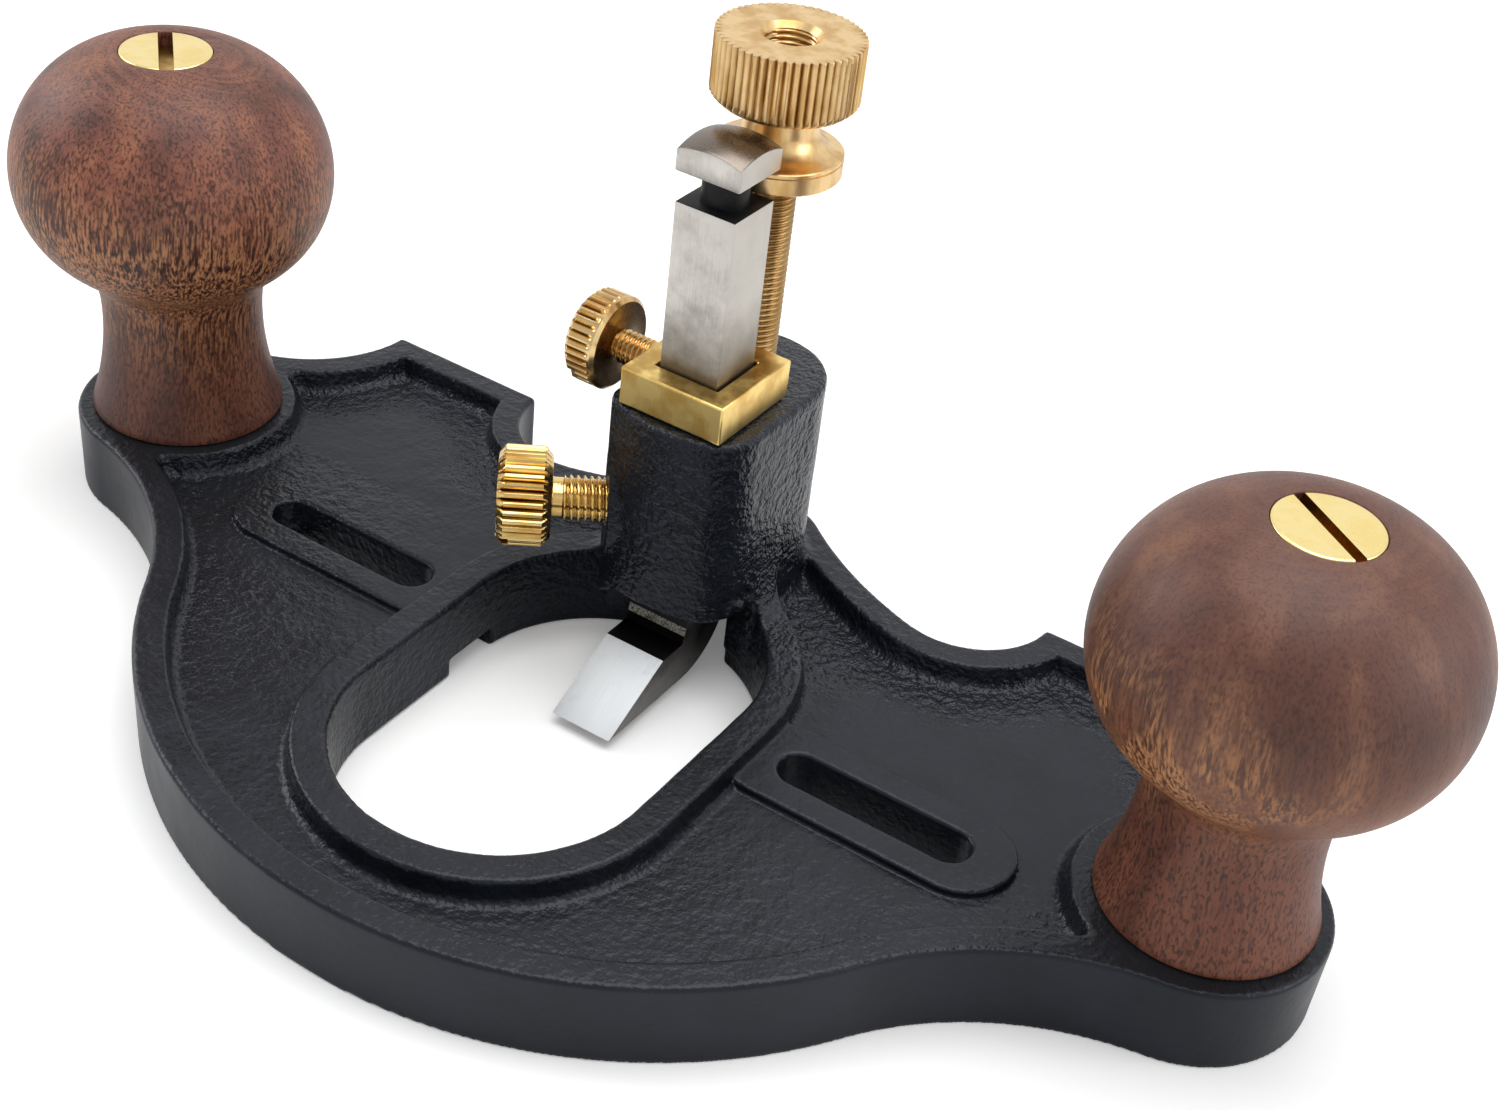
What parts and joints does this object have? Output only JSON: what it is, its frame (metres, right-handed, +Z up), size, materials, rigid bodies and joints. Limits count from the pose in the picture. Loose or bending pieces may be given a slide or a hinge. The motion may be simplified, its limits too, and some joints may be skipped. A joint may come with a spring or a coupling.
{
  "type": "hand router plane",
  "caption": "Hand router plane: cast base with a rimmed sole, turned knobs, a post holding a square-shanked foot cutter, brass depth nut on a threaded rod, stop collar and thumbscrews.",
  "frame": {"origin": "on the sole, under the middle of the overall box", "axes": "+X from the left knob to the right knob, +Y from the front edge to the post side, +Z up from the sole"},
  "size_m": [0.2024, 0.0986, 0.0857],
  "materials": {
    "casting": "satin black enamel over a cast skin",
    "knob_wood": "satin oiled",
    "stud_steel": "plain",
    "brass": "turned, lightly polished",
    "tool_steel": "ground"
  },
  "bodies": {
    "base": {"base_casting": "casting", "left_knob": "knob_wood", "right_knob": "knob_wood", "left_knob_stud": "stud_steel", "right_knob_stud": "stud_steel", "left_knob_nut": "brass", "right_knob_nut": "brass", "adjuster_rod": "brass"},
    "cutter": {"blade": "tool_steel"},
    "nut": {"depth_nut": "brass"},
    "collar": {"depth_stop_collar": "brass"},
    "stop_screw": {"depth_stop_screw": "brass"},
    "lock_screw": {"blade_lock_screw": "brass"}
  },
  "joints": [
    {"name": "blade_feed", "type": "slide", "parent": "base", "child": "cutter", "axis": [0, 0, 1], "range_m": [-0.012, 0.0015]},
    {"name": "nut_turn", "type": "hinge", "parent": "cutter", "child": "nut", "pos_m": [0, 0.0359, 0.077], "axis": [0, 0, 1], "range_deg": [-5765, 725]},
    {"name": "collar_slide", "type": "slide", "parent": "base", "child": "collar", "axis": [0, 0, 1], "range_m": [0, 0.008]},
    {"name": "stop_screw_turn", "type": "hinge", "parent": "collar", "child": "stop_screw", "pos_m": [-0.013, 0.0247, 0.04365], "axis": [1, 0, 0], "range_deg": [-720, 0]},
    {"name": "lock_screw_turn", "type": "hinge", "parent": "base", "child": "lock_screw", "pos_m": [-0.01474, 0.01438, 0.02475], "axis": [0.8192, 0.5736, 0], "range_deg": [-720, 0]}
  ],
  "couplings": [
    {"joint": "nut_turn", "follows": "blade_feed", "rad_per_m": 8377.6}
  ]
}
